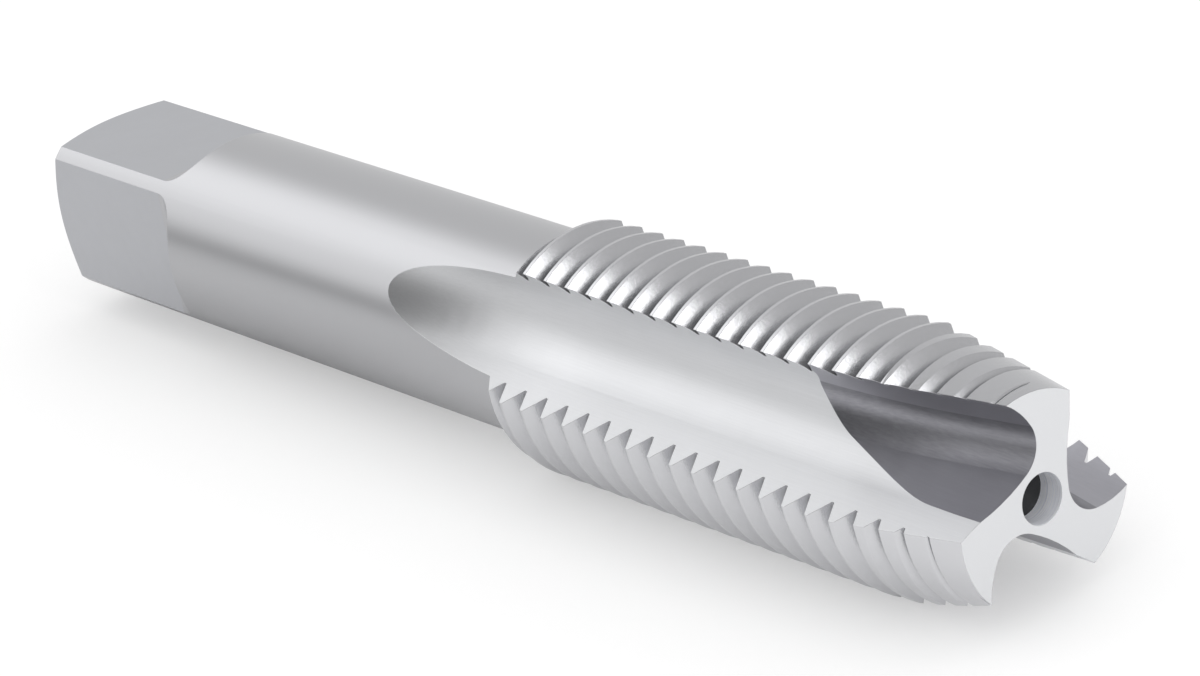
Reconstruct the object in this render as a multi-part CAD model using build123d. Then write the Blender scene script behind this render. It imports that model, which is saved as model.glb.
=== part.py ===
"""Spiral-point thread tap, M20 x 2.5, ground from one bar of high-speed steel.

The tap is drawn with its axis on Z and its cutting face at Z = 0, so that every length is measured back from that
face. It is then laid down with the axis along X and the cutting end towards +X, as it lies on a flat surface: on the
two lower lands, with a flute facing down. The origin is on that surface, under the middle of the tap.
Lengths are in millimetres and angles in degrees.
"""

from build123d import *
from math import atan2, ceil, cos, degrees, radians, sin, sqrt, tan
import os

# Whole tool
overall_length = 114.0
shank_diameter = 16.56

# Driving square
square_across_flats = 12.5
square_length = 19.3            # end of the tool to the shoulder
square_corner_radius = 3.0      # left by the cutter at the shoulder
square_bevel_width = 2.4        # bevel on the end, measured across the radius
square_bevel_length = 1.3
square_turn = 3.0               # from the middle of a flute to the flat beside it

# Thread
thread_diameter = 20.0
pitch = 2.5
flank_angle = 60.0              # between the two flanks
crest_flat = pitch / 8
root_flat = 0.09 * pitch        # floor of the groove
thread_length = 52.4            # cutting face to the foot of the bevel at the shank
thread_phase = 158.0            # from a flute's middle to where a crest meets the cutting face

# Plug chamfer on the first threads
chamfer_length = 12.9
chamfer_angle = 9.3             # to the axis
chamfer_eccentricity = 0.62     # gives the relief behind each cutting edge
chamfer_high_side = 60.0        # from a land's middle to the high side of its taper

# Flutes
flute_count = 3
web_radius = 4.5                # core left under a flute at the cutting face
flute_floor_radius = 4.25
flute_heel_angle = 52.0         # heel wall, from the middle of the flute
flute_hook_angle = 3.0          # how far the cutting wall leans in over the flute
flute_rise_angle = 0.57         # the web thickens towards the shank
flute_straight = 48.5           # cutting face to where the wheel lifts out
flute_wheel_radius = 49.0
flute_lift_angle = 34.0         # turn in which the wheel clears the shank

# Spiral-point grind in the mouth of each flute
point_turn = 27.0               # from a flute's middle back to the leading wall
point_wall_offset = 2.92        # deepest point of the hollow leading wall, from the axis
point_wall_height = 5.55        # that point, out along the wall
point_wall_radius = 6.26
point_floor_offset = 0.71       # deepest point of the hollow floor, from the axis towards the wall
point_floor_height = 2.56       # that point, out along the wall
point_floor_radius = 14.2
point_corner_radius = 2.58
point_lead_angle = 9.2          # from the grind to the axis
point_lead_turn = 22.7          # the grind leads into the wall and, by this angle, down into the floor
point_straight = 6.0            # cutting face to where the wheel lifts out
point_wheel_radius = 65.0
point_lift_angle = 22.0         # turn in which the wheel clears the flute

# Centre hole in the cutting face
hole_diameter = 3.88
hole_depth = 2.2
drill_point_angle = 118.0

# Worked out from the sizes above
shank_radius = shank_diameter / 2
thread_radius = thread_diameter / 2
flute_spacing = 360 / flute_count
reach = 2 * thread_radius       # cutters stand this far out, clear of the blank
clear = 2.0                     # cutters start this far ahead of the cutting face


def towards(angle):
    """Unit vector square to the axis."""
    return Vector(cos(radians(angle)), sin(radians(angle)), 0)


def blank():
    """Turned blank: a shank with a bevelled end, and the larger body for the thread."""
    outline = Polyline(
        (0, 0, 0),
        (thread_radius, 0, 0),
        (thread_radius, 0, -thread_length + thread_radius - shank_radius),
        (shank_radius, 0, -thread_length),
        (shank_radius, 0, -overall_length + square_bevel_length),
        (shank_radius - square_bevel_width, 0, -overall_length),
        (0, 0, -overall_length),
        close=True,
    )
    return revolve(make_face(outline), Axis.Z)


def flat_cutter(angle):
    """Side cut of the driving square, with the cutter's radius at the shoulder."""
    flat = square_across_flats / 2
    shoulder = -overall_length + square_length
    end = -overall_length - clear
    arc_start = (flat, shoulder - square_corner_radius)
    arc_end = (flat + square_corner_radius, shoulder)
    outline = [
        Line((flat, end), arc_start),
        RadiusArc(arc_start, arc_end, square_corner_radius),
        Polyline(arc_end, (reach, shoulder), (reach, end), (flat, end)),
    ]
    side = Plane((0, 0, 0), x_dir=towards(angle), z_dir=towards(angle - 90))
    return extrude(side * make_face(outline), reach, both=True)


def chamfer_cutter(land_angle):
    """Everything outside a taper, over one land. The taper is off the axis, so that the land falls away behind its
    cutting edge."""
    slope = tan(radians(chamfer_angle))
    back = chamfer_length + clear
    front_radius = thread_radius - chamfer_length * slope
    taper = Solid.make_cone(front_radius + back * slope, front_radius - clear * slope, back + clear)
    shift = towards(land_angle + chamfer_high_side) * chamfer_eccentricity
    corners = [towards(land_angle + turn) * reach for turn in (-flute_spacing / 2, 0, flute_spacing / 2)]
    sector = extrude(make_face(Polyline((0, 0), *corners, close=True)), back + clear)
    return Pos(0, 0, -back) * (sector - Pos(*shift) * taper)


def thread_grooves(land_angle, first_flute):
    """Right-hand grooves between the crests of one land, one to a turn, that end in the flutes beside it."""
    slope = tan(radians(flank_angle / 2))
    half_mouth = (pitch - crest_flat) / 2
    half_floor = root_flat / 2
    root_radius = thread_radius - (half_mouth - half_floor) / slope
    widening = 0.4 * crest_flat     # the cutter stands above the crests, where two turns still don't meet
    outline = Polyline(
        (root_radius, 0, -half_floor),
        (root_radius, 0, half_floor),
        (thread_radius + widening / slope, 0, half_mouth + widening),
        (thread_radius + widening / slope, 0, -half_mouth - widening),
        close=True,
    )
    span = 0.7 * flute_spacing
    start = land_angle - span / 2
    helix = Helix(pitch, pitch * span / 360, thread_radius)
    groove = Rot(0, 0, start) * sweep(make_face(outline), helix, is_frenet=True)
    middle = pitch * ((start - first_flute - thread_phase) / 360 + 0.5)
    turns = range(-ceil((thread_length + middle) / pitch), 1 + ceil((clear - middle) / pitch))
    return [Pos(0, 0, middle + turn * pitch) * groove for turn in turns]


def wheel_groove(plane, profile, straight, wheel_radius, lowest, axle, lift_angle):
    """Groove of a grinding wheel that starts ahead of the plane, runs straight back and then lifts out on its own
    radius. The lowest point of the profile and the axle's direction are given in the plane."""
    run = extrude(plane.offset(clear) * profile, -straight - clear)
    end = plane.offset(-straight)
    centre = end.from_local_coords(lowest + Vector(0, 0, 1).cross(axle) * wheel_radius)
    axle_direction = end.from_local_coords(axle) - end.origin
    return run + revolve(end * profile, Axis(centre, axle_direction), lift_angle)


def flute_profile(web):
    """Section of a flute whose middle is on X: round floor, steep cutting wall below, open heel wall above."""
    centre = Vector(web + flute_floor_radius, 0)
    hook = radians(flute_hook_angle)
    heel = radians(flute_heel_angle)
    cutting_foot = centre + Vector(sin(hook), -cos(hook)) * flute_floor_radius
    heel_foot = centre + Vector(-sin(heel), cos(heel)) * flute_floor_radius
    cutting_top = cutting_foot + Vector(cos(hook), sin(hook)) * reach
    heel_top = heel_foot + Vector(cos(heel), sin(heel)) * reach
    outline = [
        Line(cutting_top, cutting_foot),
        ThreePointArc(cutting_foot, (web, 0), heel_foot),
        Polyline(heel_foot, heel_top, cutting_top),
    ]
    return make_face(outline)


def flute_cutter(angle):
    """One straight flute, with its run-out into the shank."""
    rise = radians(flute_rise_angle)
    out = towards(angle)
    forward = Vector(0, 0, 1)
    plane = Plane((0, 0, 0), x_dir=out * cos(rise) + forward * sin(rise), z_dir=forward * cos(rise) - out * sin(rise))
    lowest = Vector(web_radius, 0, 0)
    axle = Vector(0, -1, 0)
    profile = flute_profile(web_radius)
    return wheel_groove(plane, profile, flute_straight, flute_wheel_radius, lowest, axle, flute_lift_angle)


def arc(centre, radius, start, end):
    """Arc about a centre, between two directions from it that are under half a turn apart."""
    middle = (start + end).normalized()
    return ThreePointArc(centre + start * radius, centre + middle * radius, centre + end * radius)


def point_profile():
    """Section of the spiral-point grind: a hollow leading wall out along Y and a shallow hollow floor, with a round
    corner that touches both from inside."""
    wall_centre = Vector(point_wall_offset - point_wall_radius, point_wall_height)
    floor_centre = Vector(point_floor_offset, point_floor_height + point_floor_radius)
    wall_side = point_wall_radius - point_corner_radius
    floor_side = point_floor_radius - point_corner_radius
    base = floor_centre - wall_centre
    foot = (base.length**2 + wall_side**2 - floor_side**2) / (2 * base.length)
    along = base.normalized()
    corner_centre = wall_centre + along * foot + along.rotate(Axis.Z, -90) * sqrt(wall_side**2 - foot**2)
    to_wall = (corner_centre - wall_centre).normalized()
    to_floor = (corner_centre - floor_centre).normalized()
    wall_end = towards(45)          # in these directions both arcs have left the blank
    floor_end = towards(225)
    wall_top = wall_centre + wall_end * point_wall_radius
    outside = wall_top + towards(135) * reach
    outline = [
        Line(outside, wall_top),
        arc(wall_centre, point_wall_radius, wall_end, to_wall),
        arc(corner_centre, point_corner_radius, to_wall, to_floor),
        arc(floor_centre, point_floor_radius, to_floor, floor_end),
        Line(floor_centre + floor_end * point_floor_radius, outside),
    ]
    return make_face(outline)


def point_cutter(angle):
    """Spiral-point grind in the mouth of one flute, at an angle to the axis."""
    turn = radians(point_lead_turn)
    up_wall = towards(angle - point_turn)
    into_wall = towards(angle - point_turn - 90)
    inward = into_wall * cos(turn) - up_wall * sin(turn)
    lead = Vector(0, 0, 1) + inward * tan(radians(point_lead_angle))
    plane = Plane((0, 0, 0), x_dir=into_wall, z_dir=lead)
    lowest = Vector(0, point_floor_height, 0)
    axle = Vector(1, 0, 0)
    return wheel_groove(plane, point_profile(), point_straight, point_wheel_radius, lowest, axle, point_lift_angle)


def centre_hole():
    """Drilled hole in the cutting face, with the drill's own point at the bottom."""
    radius = hole_diameter / 2
    outline = Polyline(
        (0, 0, clear),
        (radius, 0, clear),
        (radius, 0, -hole_depth),
        (0, 0, -hole_depth - radius / tan(radians(drill_point_angle / 2))),
        close=True,
    )
    return revolve(make_face(outline), Axis.Z)


def mouth_middle():
    """Angle from a flute's middle to the middle of its mouth at the crests, where the last full threads are."""
    web = web_radius + flute_straight * tan(radians(flute_rise_angle))
    mouth = (CenterArc((0, 0), thread_radius, -90, 180) & flute_profile(web)).edges()[0]
    middle = mouth @ 0.5
    return degrees(atan2(middle.Y, middle.X))


def tap():
    """The whole tap, with the mouth of its first flute facing down."""
    down = -90
    first_flute = down - mouth_middle()
    flutes = [first_flute + flute_spacing * n for n in range(flute_count)]
    lands = [angle + flute_spacing / 2 for angle in flutes]
    body = blank() - [chamfer_cutter(angle) for angle in lands]
    for angle in lands:
        body -= thread_grooves(angle, first_flute)
    body -= [flute_cutter(angle) for angle in flutes]
    body -= [point_cutter(angle) for angle in flutes]
    body -= [flat_cutter(first_flute + square_turn + 90 * n) for n in range(4)]
    return body - centre_hole()


def lay_down(tool):
    """Turn the axis onto X and stand the tool on Z = 0, centred over the origin."""
    laid = Plane((0, 0, 0), x_dir=(0, 1, 0), z_dir=(1, 0, 0)).location * tool
    box = laid.bounding_box()
    return Pos(-box.center().X, -box.center().Y, -box.min.Z) * laid


tool = lay_down(tap())
tool.label = "tap"
os.makedirs("parts", exist_ok=True)
export_step(tool, "parts/tap.step")
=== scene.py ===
from math import pi

import bpy
import numpy as np
from mathutils import Matrix, Vector


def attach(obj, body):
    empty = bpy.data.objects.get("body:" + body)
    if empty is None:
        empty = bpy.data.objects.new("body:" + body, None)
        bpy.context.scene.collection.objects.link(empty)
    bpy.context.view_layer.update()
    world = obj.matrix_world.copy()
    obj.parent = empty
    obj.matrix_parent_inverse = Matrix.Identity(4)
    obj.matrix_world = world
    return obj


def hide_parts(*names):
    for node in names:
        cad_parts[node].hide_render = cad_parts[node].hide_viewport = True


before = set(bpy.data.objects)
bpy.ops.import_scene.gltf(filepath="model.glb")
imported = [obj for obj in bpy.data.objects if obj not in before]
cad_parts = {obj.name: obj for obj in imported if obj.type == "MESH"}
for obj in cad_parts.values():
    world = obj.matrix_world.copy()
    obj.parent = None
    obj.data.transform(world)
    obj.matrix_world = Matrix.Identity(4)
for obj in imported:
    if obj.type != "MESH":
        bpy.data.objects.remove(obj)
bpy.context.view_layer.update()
tap_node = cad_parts["tap"]

# The tap's axis runs along X at this height, and its cutting face is at this X.
axis_height = 0.00870217
face_x = 0.057
mm = 0.001

# The camera that took the photo, fitted to the thread's pitch and the tap's outlines.
camera_place = (0.3295752, -0.2245674, 0.1893169)
camera_right = (0.632259, 0.750248, -0.193328)
camera_down = (0.211673, -0.407316, -0.888419)
camera_ahead = (-0.745281, 0.520789, -0.416337)
sensor_width = 36.0
focal_length = 168.877
nearest, farthest = 0.01, 10.0

# Steel. Tints are the shares of the grey in red, green and blue. Lengths are in millimetres.
cool = (0.987, 1.0, 1.045)
neutral = (0.992, 1.0, 1.02)
warm = (0.996, 1.0, 1.03)
blue = (1.005, 1.0, 1.085)
noise_detail = 3.0
marks_roughness = 0.6
cloud_size = (6, 6, 6)
cloud_roughness = 0.55
edge_radius = 0.06
edge_samples = 6
edge_turn = (0.8, 0.99)         # cosine of the turn at an edge: fully rubbed and painted as a highlight, and untouched
# Painted shade in narrow places: how far the ambient occlusion reaches, and its samples.
soil_reach = 1.2
soil_samples = 8
soil_open = (0.1, 0.8)          # how open a place is: darkest painted shade, and no painted shade

# Limits that tell the surfaces apart, in millimetres: places along the tap from its cutting face, and then
# distances from its axis.
square_shoulder = -94.5
thread_foot = -53.0
point_end = -30.0
hole_reach = 2.0
thread_bottom = 7.5
root_reach = 8.6
wall_reach = 8.0
shank_radius = (8.27, 8.29)

# The studio that metal sees. Each edge holds the two values between which a thing fades in or out, as the
# part of the direction along one axis.
room_light = 0.15
left_box_edge, left_box_light = (-0.56, -0.40), 1.1
right_box_edge, right_box_light = (0.5, 0.8), 0.7
wall_edge = (0.08, 0.32)
wall_fade, wall_light = (-0.75, -0.3), (0.8, 0.62)
skirting_foot, skirting_top, skirting_end = (-0.08, 0.0), (0.02, 0.3), (-0.2, 0.1)
skirting_dark = 0.8

# The floor's grey, and what is added to its grey and its glow where the camera or metal sees it.
floor_half = 3.0
floor_grey = 0.75
floor_grey_to_camera = -0.1
floor_grey_to_metal = 0.05
floor_glow_to_camera = 0.37
# A glow on the floor that only metal sees, towards the cutting end: a painted reflection that lifts the tap's
# shadow in the steel.
painted_glow_edge, painted_glow = (-0.03, 0.03), 0.25


# ---------------------------------------------------------------- camera
def add_camera():
    data = bpy.data.cameras.new("camera")
    camera = bpy.data.objects.new("camera", data)
    bpy.context.scene.collection.objects.link(camera)
    turn = Matrix((Vector(camera_right), -Vector(camera_down), -Vector(camera_ahead))).transposed().to_4x4()
    camera.matrix_world = Matrix.Translation(Vector(camera_place)) @ turn
    data.sensor_width = sensor_width
    data.lens = focal_length
    data.clip_start = nearest
    data.clip_end = farthest
    bpy.context.scene.camera = camera


# ---------------------------------------------------------------- node helpers
class Tree:
    """Short calls for building a node tree."""

    def __init__(self, tree):
        self.nodes, self.links = tree.nodes, tree.links
        self.nodes.clear()

    def add(self, kind, **settings):
        node = self.nodes.new(kind)
        for name, value in settings.items():
            setattr(node, name, value)
        return node

    def put(self, socket, value):
        if isinstance(value, bpy.types.NodeSocket):
            self.links.new(value, socket)
        else:
            socket.default_value = value

    def math(self, operation, *values):
        node = self.add("ShaderNodeMath", operation=operation)
        for socket, value in zip(node.inputs, values):
            self.put(socket, value)
        return node.outputs[0]

    def vector_math(self, operation, *values):
        node = self.add("ShaderNodeVectorMath", operation=operation)
        for socket, value in zip(node.inputs, values):
            self.put(socket, value)
        return node

    def step(self, value, low, high, start=0.0, end=1.0):
        """Smooth change from start to end while the value goes from low to high."""
        node = self.add("ShaderNodeMapRange", interpolation_type="SMOOTHSTEP")
        settings = {"Value": value, "From Min": low, "From Max": high, "To Min": start, "To Max": end}
        for name, setting in settings.items():
            self.put(node.inputs[name], setting)
        return node.outputs["Result"]

    def noise(self, lengths, roughness):
        """Noise fixed to the object, with marks of these lengths along X, Y and Z, in millimetres."""
        place = self.add("ShaderNodeMapping", vector_type="POINT")
        self.put(place.inputs["Vector"], self.add("ShaderNodeTexCoord").outputs["Object"])
        self.put(place.inputs["Scale"], tuple(1 / mm / length for length in lengths))
        node = self.add("ShaderNodeTexNoise")
        self.put(node.inputs["Vector"], place.outputs[0])
        self.put(node.inputs["Scale"], 1.0)
        self.put(node.inputs["Detail"], noise_detail)
        self.put(node.inputs["Roughness"], roughness)
        return node.outputs["Fac"]

    def ray(self, kind):
        """1 for a ray of this kind, such as Is Camera Ray."""
        return self.add("ShaderNodeLightPath").outputs[kind]

    def seen_by_metal(self):
        """1 for a ray that metal or glass reflects or lets through."""
        return self.math("MAXIMUM", self.ray("Is Glossy Ray"), self.ray("Is Transmission Ray"))


# ---------------------------------------------------------------- steel
def steel(name, grey, roughness, grain, depth, mottle=0.04, spread=0.1, edge_rubbing_and_highlight=0.6, along=0.0, soil=0.0,
          metal=1.0, tint=cool):
    """Ground steel. Grain is the length of the grinding marks along each axis and depth their height, both
    in millimetres. Mottle and spread are how far the colour and the roughness depart from the plain finish,
    and wear how far edges are lighter, partly rubbed and partly a painted edge highlight. Along is how far
    marks that run along the tap spread the gloss across, soil how far narrow places are darkened with painted
    shade, and metal the share that shines as metal and not as a dull surface."""
    material = bpy.data.materials.new(name)
    material.use_nodes = True
    t = Tree(material.node_tree)
    out = t.add("ShaderNodeOutputMaterial")
    shader = t.add("ShaderNodeBsdfPrincipled")
    marks = t.noise(grain, marks_roughness)
    cloud = t.noise(cloud_size, cloud_roughness)

    # edges are rounded in shading only, and their colour departs there, partly as rubbing and partly as a
    # painted edge highlight (on the face, a painted dark outline)
    rounded = t.add("ShaderNodeBevel", samples=edge_samples)
    rounded.inputs["Radius"].default_value = edge_radius * mm
    plain = t.add("ShaderNodeNewGeometry").outputs["Normal"]
    turn = t.vector_math("DOT_PRODUCT", rounded.outputs[0], plain).outputs["Value"]
    rubbed_and_highlit_edge = t.step(turn, *edge_turn, 1.0, 0.0)

    fine = t.math("MULTIPLY_ADD", marks, 2 * mottle, 1 - mottle)
    broad = t.math("MULTIPLY_ADD", cloud, mottle, 1 - mottle / 2)
    level = t.math("MULTIPLY", t.math("MULTIPLY", fine, broad), t.math("MULTIPLY_ADD", rubbed_and_highlit_edge, edge_rubbing_and_highlight, 1.0))
    # narrow places, deep in grooves and notches, are darkened by ambient occlusion: painted shade
    if soil:
        open_air = t.add("ShaderNodeAmbientOcclusion", samples=soil_samples)
        open_air.inputs["Distance"].default_value = soil_reach * mm
        level = t.math("MULTIPLY", level, t.step(open_air.outputs["AO"], *soil_open, 1 - soil, 1.0))
    colour = t.add("ShaderNodeVectorMath", operation="SCALE")
    colour.inputs[0].default_value = [grey * part for part in tint]
    t.put(colour.inputs["Scale"], level)
    t.put(shader.inputs["Base Color"], colour.outputs[0])
    shader.inputs["Metallic"].default_value = metal
    t.put(shader.inputs["Roughness"], t.math("MULTIPLY_ADD", marks, spread, roughness - spread / 2))

    bump = t.add("ShaderNodeBump")
    bump.inputs["Strength"].default_value = 1.0
    bump.inputs["Distance"].default_value = depth * mm
    t.put(bump.inputs["Height"], marks)
    t.put(bump.inputs["Normal"], rounded.outputs[0])
    t.put(shader.inputs["Normal"], bump.outputs[0])
    if along:
        shader.inputs["Anisotropic"].default_value = along
        t.put(shader.inputs["Tangent"], t.vector_math("CROSS_PRODUCT", plain, (1, 0, 0)).outputs[0])
    t.put(out.inputs[0], shader.outputs[0])
    return material


# Columns: name, grey, roughness, grain, depth, and then what departs from the usual.
point = {"along": 0.5, "tint": blue}
finishes = {
    "shank": steel("shank_steel", 0.52, 0.31, (0.15, 3, 3), 0.00004, mottle=0.012, spread=0.05, tint=warm),
    "flat": steel("flat_steel", 0.565, 0.42, (1.5, 1.5, 1.5), 0.001),
    "thread": steel("thread_steel", 0.60, 0.24, (0.3, 0.3, 0.3), 0.006, edge_rubbing_and_highlight=0.3, soil=0.6, tint=warm),
    # Roots are a dark grey: painted shade deep in the thread's grooves.
    "root": steel("root_shaded_steel", 0.30, 0.35, (0.3, 0.3, 0.3), 0.002, soil=0.6),
    "flute": steel("flute_steel", 0.76, 0.44, (6, 0.14, 0.14), 0.003, mottle=0.06, along=0.7, tint=neutral),
    # The point's wall, corner and floor, around the pocket under the land, have greys well below the flute's:
    # painted shade in that recess.
    "point_wall": steel("point_wall_shaded_steel", 0.47, 0.36, (6, 0.2, 0.2), 0.002, mottle=0.08, **point),
    "point_corner": steel("point_corner_shaded_steel", 0.32, 0.36, (8, 0.15, 0.15), 0.004, mottle=0.25, **point),
    "point_floor": steel("point_floor_shaded_steel", 0.35, 0.40, (6, 0.2, 0.2), 0.002, mottle=0.08, **point),
    # the face's edges are darkened: a painted dark outline
    "face": steel("face_steel", 0.74, 0.5, (1, 1, 1), 0.0006, mottle=0.02, edge_rubbing_and_highlight=-0.4, tint=neutral),
    "hole": steel("hole_steel", 1.0, 0.35, (0.12, 4, 4), 0.006, mottle=0.5, metal=0.3),
    # The drill end is near black: painted shade at the bottom of the centre hole.
    "drill_end": steel("drill_end_shaded_steel", 0.05, 0.6, (0.3, 0.3, 0.3), 0.002),
}


# ---------------------------------------------------------------- the tap, with a finish on each surface
def surface_finish(z, r, normal):
    """Finish of one surface, from where its points lie along the tap and out from its axis, in millimetres,
    and from its mean normal, whose first part says how far it faces the cutting end."""
    facing = normal[0]
    if r.max() < hole_reach:
        return "hole" if abs(facing) < 0.1 else "drill_end"
    if facing > 0.99:
        return "face"
    round_all_over = r.min() > shank_radius[0]
    if z.max() < square_shoulder and not round_all_over:
        return "flat"
    if round_all_over and r.max() < shank_radius[1]:
        return "shank"
    if r.min() > thread_bottom and z.min() > thread_foot:
        return "root" if r.max() < root_reach and abs(facing) < 0.3 else "thread"
    if z.min() > point_end:
        if r.max() > wall_reach:
            return "point_wall"
        return "point_corner" if facing > 0.1 else "point_floor"
    return "flute"


def surfaces(count, corners):
    """A label for each point, the same all over one surface of the solid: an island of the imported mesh."""
    island = np.arange(count)
    while True:
        lowest = island[corners].min(axis=1)
        new = island.copy()
        for column in corners.T:
            np.minimum.at(new, column, lowest)
        new = new[new]
        if (new == island).all():
            return island
        island = new


def finished_tap():
    source = tap_node.data
    place = np.empty(len(source.vertices) * 3)
    source.vertices.foreach_get("co", place)
    place = place.reshape(-1, 3)
    corners = np.empty(len(source.polygons) * 3, int)
    source.polygons.foreach_get("vertices", corners)
    corners = corners.reshape(-1, 3)

    names = list(finishes)
    along = (place[:, 0] - face_x) / mm
    radius = np.hypot(place[:, 1], place[:, 2] - axis_height) / mm
    first, second, third = (place[column] for column in corners.T)
    cross = np.cross(second - first, third - first)
    label = surfaces(len(place), corners)[corners[:, 0]]
    slots = np.zeros(len(corners), int)
    for surface in np.unique(label):
        chosen = label == surface
        points = np.unique(corners[chosen])
        normal = cross[chosen].sum(axis=0) / np.linalg.norm(cross[chosen], axis=1).sum()
        slots[chosen] = names.index(surface_finish(along[points], radius[points], normal))

    # the surfaces are joined along their edges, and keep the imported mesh's own normals
    normals = np.empty(len(corners) * 9)
    source.corner_normals.foreach_get("vector", normals)
    joined, index = np.unique(np.round(place, 7), axis=0, return_inverse=True)
    faces = index.reshape(-1)[corners]
    whole = (faces[:, 0] != faces[:, 1]) & (faces[:, 1] != faces[:, 2]) & (faces[:, 2] != faces[:, 0])
    mesh = bpy.data.meshes.new("tap_steel")
    mesh.from_pydata(joined.tolist(), [], faces[whole].tolist())
    for name in names:
        mesh.materials.append(finishes[name])
    mesh.polygons.foreach_set("material_index", slots[whole])
    mesh.polygons.foreach_set("use_smooth", np.ones(whole.sum(), bool))
    mesh.normals_split_custom_set(normals.reshape(-1, 3, 3)[whole].reshape(-1, 3).tolist())
    tap = bpy.data.objects.new("tap_steel", mesh)
    bpy.context.scene.collection.objects.link(tap)
    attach(tap, "root")
    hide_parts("tap")


# ---------------------------------------------------------------- studio
def studio():
    """White surroundings for the camera. Metal sees them as a studio: a pale box to the left and another to
    the right of a darker room, a grey wall behind, and a dark skirting on the near side."""
    world = bpy.data.worlds.new("studio")
    bpy.context.scene.world = world
    world.use_nodes = True
    t = Tree(world.node_tree)
    direction = t.add("ShaderNodeSeparateXYZ")
    t.put(direction.inputs[0], t.add("ShaderNodeTexCoord").outputs["Generated"])
    x, y, z = direction.outputs

    left_box = t.step(x, *left_box_edge, 1.0, 0.0)
    right_box = t.step(x, *right_box_edge)
    left_and_room = t.math("MULTIPLY_ADD", left_box, left_box_light, room_light)
    boxes = t.math("ADD", left_and_room, t.math("MULTIPLY", right_box, right_box_light))
    wall = t.step(y, *wall_edge)
    wall_shown = t.math("MULTIPLY", wall, t.step(x, *wall_fade, *wall_light))
    upper = t.math("ADD", t.math("MULTIPLY", boxes, t.math("SUBTRACT", 1.0, wall)), wall_shown)

    low = t.math("MULTIPLY", t.step(z, *skirting_foot), t.step(z, *skirting_top, 1.0, 0.0))
    near = t.step(y, *skirting_end, 1.0, 0.0)
    skirting = t.math("MULTIPLY", t.math("MULTIPLY", low, skirting_dark), near)
    room = t.math("MULTIPLY", upper, t.math("SUBTRACT", 1.0, skirting))

    metal = t.seen_by_metal()
    strength = t.math("ADD", t.math("MULTIPLY", metal, room), t.math("SUBTRACT", 1.0, metal))
    light = t.add("ShaderNodeBackground")
    light.inputs["Color"].default_value = (1, 1, 1, 1)
    t.put(light.inputs["Strength"], strength)
    t.put(t.add("ShaderNodeOutputWorld").inputs[0], light.outputs[0])


def floor():
    """Pale floor, which keeps the tap's shadow. Metal sees a painted glow on it towards the cutting end, a
    painted reflection that lifts the shadow there.
    """
    corners = [(-floor_half, -floor_half, 0), (floor_half, -floor_half, 0)]
    corners += [(floor_half, floor_half, 0), (-floor_half, floor_half, 0)]
    mesh = bpy.data.meshes.new("floor")
    mesh.from_pydata(corners, [], [(0, 1, 2, 3)])
    plate = bpy.data.objects.new("floor", mesh)
    bpy.context.scene.collection.objects.link(plate)
    material = bpy.data.materials.new("floor")
    material.use_nodes = True
    t = Tree(material.node_tree)
    metal = t.seen_by_metal()
    camera = t.ray("Is Camera Ray")

    paint = t.add("ShaderNodeBsdfDiffuse")
    grey = t.math("MULTIPLY_ADD", camera, floor_grey_to_camera, floor_grey)
    grey = t.math("ADD", grey, t.math("MULTIPLY", metal, floor_grey_to_metal))
    tone = t.add("ShaderNodeCombineColor")
    for socket in tone.inputs:
        t.put(socket, grey)
    t.put(paint.inputs["Color"], tone.outputs[0])

    place = t.add("ShaderNodeSeparateXYZ")
    t.put(place.inputs[0], t.add("ShaderNodeNewGeometry").outputs["Position"])
    # painted reflection: the floor glows towards the cutting end for metal only
    painted_glow_for_metal = t.math("MULTIPLY", metal, t.step(place.outputs[0], *painted_glow_edge, 0.0, painted_glow))
    glow = t.add("ShaderNodeEmission")
    t.put(glow.inputs["Strength"], t.math("MULTIPLY_ADD", camera, floor_glow_to_camera, painted_glow_for_metal))
    both = t.add("ShaderNodeAddShader")
    t.put(both.inputs[0], paint.outputs[0])
    t.put(both.inputs[1], glow.outputs[0])
    t.put(t.add("ShaderNodeOutputMaterial").inputs[0], both.outputs[0])
    mesh.materials.append(material)


def softbox(name, towards, distance, side, radiance):
    """Square lamp in this direction from the origin, turned to face it."""
    data = bpy.data.lights.new(name, "AREA")
    data.shape = "SQUARE"
    data.size = side
    data.energy = radiance * pi * side * side
    lamp = bpy.data.objects.new(name, data)
    bpy.context.scene.collection.objects.link(lamp)
    lamp.location = Vector(towards).normalized() * distance
    lamp.rotation_mode = "QUATERNION"
    lamp.rotation_quaternion = (-lamp.location).to_track_quat("-Z", "Y")
    lamp.visible_camera = False


bpy.context.scene.view_settings.view_transform = "Standard"
add_camera()
finished_tap()
studio()
floor()
softbox("key", towards=(-0.74, -0.15, 0.58), distance=0.9, side=0.4, radiance=0.35)
softbox("fill", towards=(0.88, 0.07, 0.46), distance=0.9, side=0.4, radiance=2.0)
